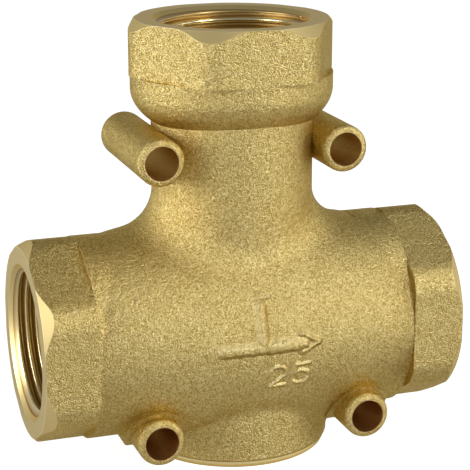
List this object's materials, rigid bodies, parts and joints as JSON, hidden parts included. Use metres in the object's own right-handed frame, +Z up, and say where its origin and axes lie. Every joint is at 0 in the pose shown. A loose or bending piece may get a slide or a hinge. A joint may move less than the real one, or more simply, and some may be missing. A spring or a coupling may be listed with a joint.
{
  "type": "thermostatic mixing valve",
  "caption": "Three-way thermostatic mixing valve: cast brass tee body with hexagonal female threaded ports, a lower boss, cast mounting tubes and an internal wax element.",
  "frame": {"origin": "centre of the lower boss's rim, on the plane the valve stands on", "axes": "+Z up the element's axis and out of the top port, +X along the run and out of the right port, front is -Y"},
  "size_m": [0.0972, 0.052, 0.0978],
  "materials": {
    "cast_brass": "sand-cast, satin",
    "turned_brass": "turned",
    "copper": "drawn copper",
    "stainless": "stamped",
    "spring_steel": "drawn wire",
    "rubber": "moulded",
    "wax": "copper-filled wax"
  },
  "bodies": {
    "casing": {"valve_body": "cast_brass", "service_plug": "turned_brass", "plug_o_ring": "rubber", "retaining_ring": "stainless", "seat_flange": "stainless", "flange_seal": "rubber", "piston_pin": "stainless", "spring_cage": "stainless", "main_spring": "spring_steel"},
    "element": {"pin_guide": "turned_brass", "rubber_boot": "rubber", "wax_charge": "wax", "wax_cup": "copper", "main_disc": "stainless", "disc_seal": "rubber", "bypass_stem": "stainless", "stem_clip": "stainless", "bypass_spring": "spring_steel"},
    "bypass": {"bypass_disc": "stainless"}
  },
  "joints": [
    {"name": "element_lift", "type": "slide", "parent": "casing", "child": "element", "axis": [0, 0, 1], "range_m": [0, 0.0059], "stiffness_N_per_m": 2000, "springref_m": -0.004, "deforming": ["main_spring"]},
    {"name": "bypass_give", "type": "slide", "parent": "element", "child": "bypass", "axis": [0, 0, -1], "range_m": [0, 0.0015], "stiffness_N_per_m": 500, "springref_m": -0.002, "deforming": ["bypass_spring"]}
  ]
}
